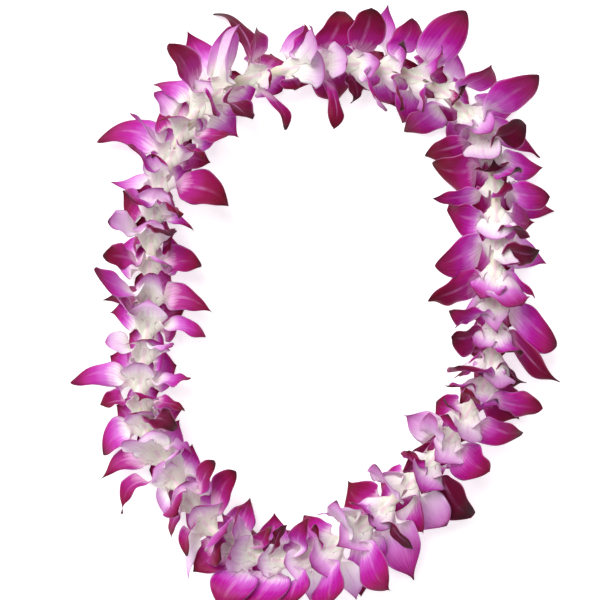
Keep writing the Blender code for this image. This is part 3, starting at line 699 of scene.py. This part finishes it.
def add_tube(shape, path, radii, sides, along_value, tint, seed):
    """A round tube along a path, closed at both ends."""
    path = np.asarray(path, float)
    tangent = np.gradient(path, axis=0)
    tangent = tangent / np.linalg.norm(tangent, axis=1)[:, None]
    up = np.array([0.0, 0.0, 1.0])
    side = np.cross(tangent, up)
    side = side / np.maximum(np.linalg.norm(side, axis=1)[:, None], 1e-6)
    lift = np.cross(side, tangent)
    turn = np.arange(sides) * 2 * np.pi / sides
    rings = []
    for p, a, b, r in zip(path, side, lift, radii):
        rings.append(p + r * (np.cos(turn)[:, None] * a + np.sin(turn)[:, None] * b))
    points = np.concatenate(rings + [path[:1], path[-1:]])
    faces = []
    rows = len(path)
    for i in range(rows - 1):
        for j in range(sides):
            k = (j + 1) % sides
            faces.append((i * sides + j, (i + 1) * sides + j, (i + 1) * sides + k, i * sides + k))
    first, last = rows * sides, rows * sides + 1
    for j in range(sides):
        k = (j + 1) % sides
        faces.append((first, j, k))
        faces.append((last, (rows - 1) * sides + k, (rows - 1) * sides + j))
    value = np.concatenate([np.repeat(along_value, sides), [along_value[0], along_value[-1]]])
    shape.add(points, faces, along=value, tint=tint, seed=seed)


def ring_faces(rows, sides):
    """The faces between closed rings of points, each ring joined to the next and the last to the first."""
    faces = []
    for i in range(rows):
        j = (i + 1) % rows
        for k in range(sides):
            m = (k + 1) % sides
            faces.append((i * sides + k, i * sides + m, j * sides + m, j * sides + k))
    return faces


def add_funnel(shape, parts, rng, seed):
    """The cream cone behind the organs: a thin-walled funnel around the thread, with a rounded chin."""
    base = parts[0]["base"]
    sides = 28
    turn = np.arange(sides) * 2 * np.pi / sides
    chin = rng.uniform(0.3, 0.7) * math.pi
    outer = []
    inner = []
    steps = np.linspace(0.0, 1.0, 15)
    narrow = 3.4
    for f in steps:
        early = min(1.0, f / 0.5)
        late = max(0.0, f / 0.5 - 1.0)
        radius = 1.2 + (narrow - 1.2) * math.sin(0.5 * math.pi * early) + 2.9 * late
        back = base - 6.0 + (6.0 + flare(narrow, np.sin(turn)) - 0.7) * early
        s = np.where(late > 0.0, base + flare(radius, np.sin(turn)) - 0.7, back)
        facing = np.maximum(np.cos(turn - chin), 0.0)
        bulge = 2.2 * math.exp(-((f - 0.3) / 0.16) ** 2) * facing ** 1.5
        fold = 1.0 + 0.04 * np.cos(5 * turn + seed * 6.0) * f
        r = radius * fold + bulge
        outer.append(placed(s, r * np.cos(turn), THREAD_HEIGHT + r * np.sin(turn)))
        q = np.maximum(r - 0.55, 0.75)
        inner.append(placed(s, q * np.cos(turn), THREAD_HEIGHT + q * np.sin(turn)))
    skin = outer + inner[::-1]
    count = len(skin)
    along_value = np.concatenate([-0.34 + 0.30 * steps, (-0.34 + 0.30 * steps)[::-1]])
    shape.add(np.concatenate(skin), ring_faces(count, sides), along=np.repeat(along_value, sides),
              across=np.tile(np.sin(turn), count), tint=0.1, seed=seed)


def add_stub(shape, parts, rng, seed):
    """The stub of the stalk that the blossom was picked from, greenish, beside the thread's way in."""
    base = parts[0]["base"]
    angle = rng.uniform(0.25, 0.75) * math.pi
    steps = np.linspace(0.0, 1.0, 5)
    r = 2.2 + 1.8 * steps
    path = placed(base - 4.0 - 3.2 * steps, r * math.cos(angle), THREAD_HEIGHT + r * math.sin(angle))
    add_tube(shape, path, 1.35 - 0.35 * steps, 8, np.full(5, -0.34) - 0.1 * steps, 0.1, seed)


def add_column(shape, parts, seed):
    """The short white column inside the trumpet, opposite the lip, with its rounded cap."""
    base = parts[0]["base"]
    lip = [o for o in parts if o["kind"] == "L"][0]
    angle = lip["angle"] + math.pi
    steps = np.linspace(0.0, 1.0, 7)
    r = 4.4 + 0.2 * steps
    start = base + flare(5.5, math.sin(angle)) + 0.4
    path = placed(start + 3.2 * steps, r * math.cos(angle), THREAD_HEIGHT + r * math.sin(angle))
    radii = np.array([0.8, 1.0, 0.95, 0.9, 1.0, 0.95, 0.5])
    add_tube(shape, path, radii, 8, 0.02 + 0.1 * steps, 0.1, seed)


def grow_blossom(number, parts, material):
    """One blossom: its six organs, the funnel behind them, the stalk's stub and the column."""
    rng = np.random.default_rng(BLOOM_SEED + number)
    seed = rng.uniform(0.0, 1.0)
    white = WHITE_REACH if number + 1 in WHITER else 0.0
    shape = Shape()
    for o in parts:
        grid, tip, l, v = organ_grid(o, rng)
        if o["seen"] and abs(math.cos(o["angle"])) < 0.45:
            back_tint = o["tint"]
            face_tint = min(1.0, o["tint"] + 0.4)
        else:
            face_tint = o["tint"]
            back_tint = 0.55 * o["tint"]
        add_leaf(shape, grid, tip, l, v, PETAL_THICKNESS, face_tint, back_tint,
                 seed + 0.13 * parts.index(o), white)
    add_funnel(shape, parts, rng, seed)
    add_stub(shape, parts, rng, seed)
    add_column(shape, parts, seed)
    return shape.make("bloom_%02d" % (number + 1), material)


# ---- Materials ----

def srgb(red, green, blue):
    """A screen colour, 0 to 255, as the linear colour that the shader takes."""
    def linear(value):
        value = value / 255.0
        return value / 12.92 if value <= 0.04045 else ((value + 0.055) / 1.055) ** 2.4
    return (linear(red), linear(green), linear(blue), 1.0)


class Tree:
    """A material's node tree, with short ways to add nodes that are already joined up."""

    def __init__(self, name):
        self.material = bpy.data.materials.new(name)
        self.material.use_nodes = True
        self.nodes = self.material.node_tree.nodes
        self.links = self.material.node_tree.links
        self.shader = self.nodes["Principled BSDF"]

    def put(self, value, socket):
        """Joins another socket to this one, or sets its value."""
        if isinstance(value, bpy.types.NodeSocket):
            self.links.new(value, socket)
        else:
            socket.default_value = value

    def fix(self, name, value):
        """Sets one of the shader's own sockets."""
        self.shader.inputs[name].default_value = value

    def value(self, name):
        """A value that the mesh's points carry."""
        node = self.nodes.new("ShaderNodeAttribute")
        node.attribute_name = name
        return node.outputs["Fac"]

    def math(self, operation, a, b=0.0, c=0.0):
        """The result of one sum."""
        node = self.nodes.new("ShaderNodeMath")
        node.operation = operation
        for value, socket in zip((a, b, c), node.inputs):
            self.put(value, socket)
        return node.outputs[0]

    def times(self, a, b):
        """One value times another."""
        return self.math("MULTIPLY", a, b)

    def span(self, value, low, high, to_low=0.0, to_high=1.0):
        """A smooth step from to_low, where the value is low, to to_high, where it is high."""
        node = self.nodes.new("ShaderNodeMapRange")
        node.interpolation_type = "SMOOTHSTEP"
        self.put(value, node.inputs["Value"])
        for key, number in (("From Min", low), ("From Max", high), ("To Min", to_low), ("To Max", to_high)):
            node.inputs[key].default_value = number
        return node.outputs["Result"]

    def noise(self, vector, scale, detail=2.0, roughness=0.5):
        """Cloudy noise, 0 to 1."""
        node = self.nodes.new("ShaderNodeTexNoise")
        self.put(vector, node.inputs["Vector"])
        node.inputs["Scale"].default_value = scale
        node.inputs["Detail"].default_value = detail
        node.inputs["Roughness"].default_value = roughness
        return node.outputs["Fac"]

    def join(self, x, y, z):
        """Three numbers as one vector."""
        node = self.nodes.new("ShaderNodeCombineXYZ")
        for value, socket in zip((x, y, z), node.inputs):
            self.put(value, socket)
        return node.outputs[0]

    def mix(self, factor, a, b):
        """Colour a, turning to b as the factor goes from 0 to 1."""
        node = self.nodes.new("ShaderNodeMix")
        node.data_type = "RGBA"
        self.put(factor, node.inputs["Factor"])
        self.put(a, node.inputs[6])
        self.put(b, node.inputs[7])
        return node.outputs[2]

    def ramp(self, factor, stops):
        """A run of screen colours, each at its place from 0 to 1."""
        node = self.nodes.new("ShaderNodeValToRGB")
        self.put(factor, node.inputs["Fac"])
        elements = node.color_ramp.elements
        while len(elements) < len(stops):
            elements.new(0.5)
        for element, (place, colour) in zip(elements, stops):
            element.position = place
            element.color = srgb(*colour)
        return node.outputs["Color"]

    def bump(self, height, strength, distance, normal=None):
        """A bumped surface direction, on top of another where one is given."""
        node = self.nodes.new("ShaderNodeBump")
        node.inputs["Strength"].default_value = strength
        node.inputs["Distance"].default_value = distance
        self.put(height, node.inputs["Height"])
        if normal is not None:
            self.put(normal, node.inputs["Normal"])
        return node.outputs["Normal"]


# From the throat (0) to the tip (1), for each depth of tint.
RAMPS = [
    [(0.0, (248, 246, 232)), (0.2, (252, 248, 242)), (0.5, (244, 224, 242)), (0.82, (220, 168, 220)),
     (1.0, (176, 84, 158))],
    [(0.0, (248, 246, 232)), (0.24, (250, 238, 244)), (0.48, (222, 158, 220)), (0.77, (180, 60, 168)),
     (1.0, (128, 20, 88))],
    [(0.0, (248, 246, 232)), (0.22, (248, 230, 242)), (0.4, (208, 104, 206)), (0.58, (180, 18, 156)),
     (0.8, (150, 8, 92)), (1.0, (102, 4, 38))],
    [(0.0, (246, 240, 230)), (0.19, (228, 172, 214)), (0.35, (170, 26, 134)), (0.6, (138, 4, 72)),
     (0.9, (110, 0, 34)), (1.0, (76, 2, 22))],
    [(0.0, (232, 206, 214)), (0.12, (168, 48, 120)), (0.3, (110, 0, 50)), (0.7, (84, 0, 34)),
     (1.0, (44, 0, 16))],
]


def petal_material():
    """Fresh orchid petal: cream throat, lilac to magenta and crimson, fine veins, a pale margin."""
    t = Tree("orchid_petal")
    l, v, tint, seed, white = (t.value(key) for key in ("along", "across", "tint", "seed", "white"))
    place = t.nodes.new("ShaderNodeTexCoord").outputs["Object"]
    blotch = t.noise(place, 90.0, 3.0)
    fine = t.noise(place, 900.0, 2.0)
    streak_place = t.join(t.times(v, 9.0), t.times(l, 1.3), t.times(seed, 37.0))
    streak = t.noise(streak_place, 1.6, 3.0, 0.6)
    reach = t.math("ADD", l, t.math("MULTIPLY_ADD", blotch, 0.20, -0.10))
    reach = t.math("ADD", reach, t.math("MULTIPLY_ADD", streak, 0.24, -0.10))
    margin_push = t.times(t.math("POWER", t.math("ABSOLUTE", v), 2.5), 0.12)
    reach = t.math("ADD", reach, margin_push)
    reach = t.math("SUBTRACT", reach, t.times(white, t.span(l, 1.0, 0.7)))
    colour = t.ramp(reach, RAMPS[0])
    for step in range(1, len(RAMPS)):
        share = t.span(tint, 0.25 * (step - 1), 0.25 * step)
        colour = t.mix(share, colour, t.ramp(reach, RAMPS[step]))
    # Fine parallel veins, stronger towards the throat, and a painted highlight along the fold in the middle.
    sway = t.math("MULTIPLY_ADD", streak, 0.10, -0.05)
    lane = t.times(t.math("ADD", v, sway), 26.0)
    vein = t.math("POWER", t.math("MULTIPLY_ADD", t.math("COSINE", lane), 0.5, 0.5), 6.0)
    vein_share = t.times(vein, t.span(l, 0.3, 0.95, 0.16, 0.07))
    vein_share = t.times(vein_share, t.span(l, 0.0, 0.2, 0.0, 1.0))
    vein_tone = t.mix(t.span(tint, 0.1, 0.7), srgb(218, 168, 212), srgb(120, 12, 78))
    colour = t.mix(vein_share, colour, vein_tone)
    # Painted highlight: a pale lilac stroke along the midrib's fold, broken up by the blotches.
    fold = t.span(t.math("ABSOLUTE", v), 0.03, 0.16, 1.0, 0.0)
    fold = t.times(fold, t.span(l, 0.9, 0.4, 0.0, 0.38))
    fold = t.times(fold, t.span(l, 0.12, 0.4))
    fold = t.times(fold, t.span(blotch, 0.35, 0.65, 0.15, 1.0))
    colour = t.mix(fold, colour, srgb(226, 160, 220))
    edge = t.span(t.math("ABSOLUTE", v), 0.92, 1.0, 0.0, 0.4)
    colour = t.mix(edge, colour, srgb(236, 158, 208))
    # Some tips have begun to dry and are nearly black.
    dry = t.math("GREATER_THAN", t.math("SINE", t.times(seed, 50.0)), 0.1)
    dry = t.times(dry, t.span(l, 0.90, 0.99, 0.0, 0.85))
    colour = t.mix(dry, colour, srgb(58, 22, 34))
    # The funnel's rear turns green around the stalk's scar.
    green = t.span(l, -0.16, -0.34, 0.0, 0.7)
    green = t.times(green, t.span(blotch, 0.35, 0.65, 0.5, 1.0))
    colour = t.mix(green, colour, srgb(198, 204, 140))
    t.put(colour, t.shader.inputs["Base Color"])
    t.put(t.math("MULTIPLY_ADD", streak, 0.20, 0.40), t.shader.inputs["Roughness"])
    relief = t.bump(vein, 0.15, 0.0004)
    relief = t.bump(fine, 0.10, 0.0003, relief)
    t.put(relief, t.shader.inputs["Normal"])
    t.fix("Subsurface Weight", 0.18)
    t.fix("Subsurface Radius", (1.0, 0.35, 0.8))
    t.fix("Subsurface Scale", 0.0015)
    t.fix("Specular IOR Level", 0.18)
    return t.material


def thread_material():
    """Undyed cotton thread: off-white plies with darker grooves and a little fuzz."""
    t = Tree("cotton_thread")
    place = t.nodes.new("ShaderNodeTexCoord").outputs["Object"]
    l, v = t.value("along"), t.value("across")
    fibre = t.noise(t.join(t.times(l, 400.0), t.times(v, 6.0), 0.0), 3.0, 3.0)
    patch = t.noise(place, 120.0, 2.0)
    colour = t.mix(fibre, srgb(214, 206, 182), srgb(244, 240, 226))
    colour = t.mix(t.span(patch, 0.55, 0.75, 0.0, 0.35), colour, srgb(198, 184, 150))
    t.put(colour, t.shader.inputs["Base Color"])
    t.put(t.math("MULTIPLY_ADD", fibre, 0.15, 0.75), t.shader.inputs["Roughness"])
    t.put(t.bump(fibre, 0.5, 0.0002), t.shader.inputs["Normal"])
    t.fix("Sheen Weight", 0.3)
    return t.material


# ---- The thread ----

TWIST_PITCH = 5.0
STEPS_A_TWIST = 9
PLY_RADIUS = 0.36
KNOT_BEFORE_NECK = 8.0


def twist_thread(material):
    """The closed two-ply thread, with its overhand knot and two short ends, just before the neck."""
    shape = Shape()
    turns = int(round(LENGTH / TWIST_PITCH))
    count = turns * STEPS_A_TWIST
    s = np.arange(count) * LENGTH / count
    sides = 6
    ring = np.arange(sides) * 2 * np.pi / sides
    for ply in (0.0, math.pi):
        spin = s / LENGTH * turns * 2 * np.pi + ply
        n = (THREAD_RADIUS - PLY_RADIUS) * np.cos(spin)
        h = (THREAD_RADIUS - PLY_RADIUS) * np.sin(spin)
        points = []
        for angle in ring:
            points.append(placed(s, n + PLY_RADIUS * math.cos(angle),
                                 THREAD_HEIGHT + h + PLY_RADIUS * math.sin(angle)))
        points = np.stack(points, axis=1).reshape(-1, 3)
        shape.add(points, ring_faces(count, sides), along=np.repeat(s / LENGTH, sides),
                  across=np.tile(np.sin(ring), count))
    knot = np.linspace(0.0, 2 * np.pi, 60)
    middle = LENGTH - KNOT_BEFORE_NECK
    knot_s = middle + 1.1 * (np.sin(knot) + 1.4 * np.sin(2 * knot)) * 0.6
    knot_n = 0.42 * (np.cos(knot) - 1.5 * np.cos(2 * knot))
    knot_h = THREAD_HEIGHT + 0.55 * np.sin(3 * knot)
    add_tube(shape, placed(knot_s, knot_n, knot_h), np.full(60, 0.42), 6, knot * 0.01, 0.0, 0.0)
    for way in (-1.0, 1.0):
        run = np.linspace(0.0, 1.0, 8)
        end = placed(middle + way * (0.6 + 4.5 * run), 0.8 + 1.6 * run, THREAD_HEIGHT - 0.6 - 1.4 * run ** 2)
        add_tube(shape, end, np.full(8, 0.36), 6, run * 0.01, 0.0, 0.0)
    return shape.make("lei_thread", material)


# ---- The room ----

FLOOR_HALF = 12.0
FARTHEST_SEEN = 60.0


def lay_floor():
    """A pale floor, wide enough that no view looks past its end."""
    mesh = bpy.data.meshes.new("floor")
    corners = [(x * FLOOR_HALF, y * FLOOR_HALF, 0) for x, y in ((-1, -1), (1, -1), (1, 1), (-1, 1))]
    mesh.from_pydata(corners, [], [(0, 1, 2, 3)])
    t = Tree("pale_floor")
    t.fix("Base Color", (0.80, 0.80, 0.80, 1.0))
    t.fix("Emission Color", (1.0, 1.0, 1.0, 1.0))
    t.fix("Emission Strength", 0.55)
    t.fix("Roughness", 0.9)
    t.fix("Specular IOR Level", 0.1)
    mesh.materials.append(t.material)
    add_object("floor", mesh)


def hang_lights():
    """An even pale sky and one broad, soft light from the upper left."""
    world = bpy.data.worlds.new("soft_light")
    world.use_nodes = True
    background = world.node_tree.nodes["Background"].inputs
    background["Color"].default_value = (1.0, 1.0, 1.0, 1.0)
    background["Strength"].default_value = 0.50
    bpy.context.scene.world = world
    sun = bpy.data.lights.new("window_light", "SUN")
    sun.energy = 2.6
    sun.angle = math.radians(40.0)
    lamp = add_object("window_light", sun)
    towards = Vector((0.45, -0.55, -1.0))
    lamp.rotation_mode = "QUATERNION"
    lamp.rotation_quaternion = towards.to_track_quat("-Z", "Y")


# The photograph's frame: its middle, in the strand's own millimetres, and its width, at the thread's height.
VIEW_MIDDLE = (-10.85, 0.0)
VIEW_WIDTH = 420.0


def set_camera():
    """The camera looks straight down through a long lens, as the photograph's does."""
    lens = bpy.data.cameras.new("camera")
    lens.lens = 135.0
    lens.sensor_width = 36.0
    distance = 0.5 * VIEW_WIDTH * lens.lens / (0.5 * lens.sensor_width) * MM
    camera = add_object("camera", lens)
    spot = (np.array(VIEW_MIDDLE) + OFFSET) * MM
    camera.location = (spot[0], spot[1], distance + THREAD_HEIGHT * MM)
    lens.clip_end = FARTHEST_SEEN
    bpy.context.scene.camera = camera
    bpy.context.scene.view_settings.view_transform = "Standard"


# ---- The scene ----

ORGANS = grow_organs()
settle(ORGANS)
PETAL = petal_material()
for number in range(len(BLOSSOMS)):
    own = [o for o in ORGANS if o["blossom"] == number]
    bloom = grow_blossom(number, own, PETAL)
    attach(bloom, "root")
    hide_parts("blossom_%02d" % (number + 1))
thread = twist_thread(thread_material())
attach(thread, "root")
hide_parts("thread")
lay_floor()
hang_lights()
set_camera()
